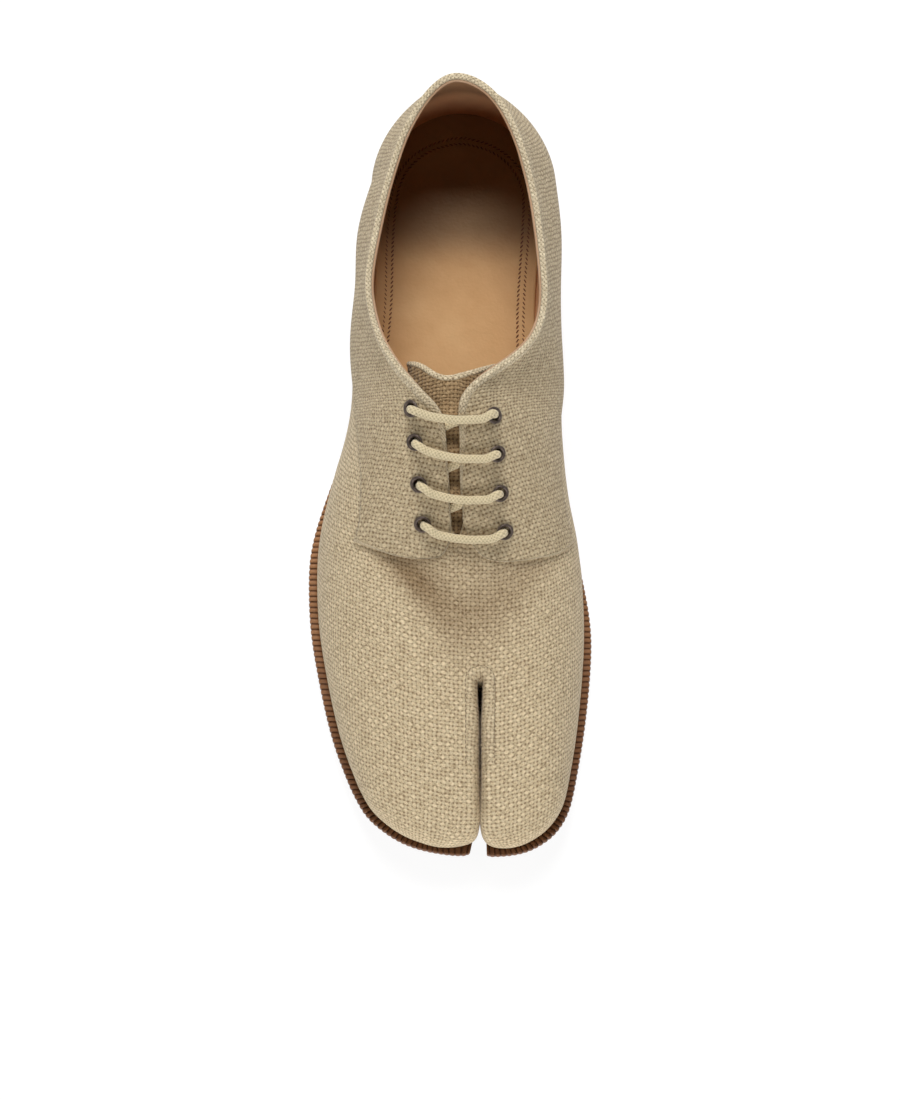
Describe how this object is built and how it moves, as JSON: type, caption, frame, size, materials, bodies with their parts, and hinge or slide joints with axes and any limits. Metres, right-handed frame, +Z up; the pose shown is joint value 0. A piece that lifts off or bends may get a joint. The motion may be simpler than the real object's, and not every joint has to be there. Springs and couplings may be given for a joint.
{
  "type": "tabi lace-up shoe",
  "caption": "Right split-toe lace-up shoe: linen upper laced over a tongue, leather insole, ribbed welt, arched outsole and stacked heel; it stands empty on heel and forefoot.",
  "frame": {"origin": "middle of the shoe's length and width, on the floor", "axes": "+Z up, -Y towards the toe, +X towards the big-toe side"},
  "size_m": [0.1113, 0.298, 0.0939],
  "materials": {
    "insole_leather": "smooth tan leather",
    "linen": "coarse plain-weave linen",
    "tongue_linen": "coarse plain-weave linen",
    "welt_leather": "ribbed brown leather",
    "sole_leather": "brown leather",
    "heel_leather": "stacked brown leather",
    "gunmetal": "dark satin metal",
    "lace_cotton": "round woven cord"
  },
  "bodies": {
    "root": {"insole": "insole_leather", "upper": "linen", "tongue": "tongue_linen", "welt_lateral": "welt_leather", "welt_medial": "welt_leather", "outsole": "sole_leather", "heel": "heel_leather", "eyelet_lateral_1": "gunmetal", "eyelet_lateral_2": "gunmetal", "eyelet_lateral_3": "gunmetal", "eyelet_lateral_4": "gunmetal", "eyelet_medial_1": "gunmetal", "eyelet_medial_2": "gunmetal", "eyelet_medial_3": "gunmetal", "eyelet_medial_4": "gunmetal", "lace_bar_1": "lace_cotton", "lace_bar_2": "lace_cotton", "lace_bar_3": "lace_cotton", "lace_bar_4": "lace_cotton"}
  },
  "joints": []
}
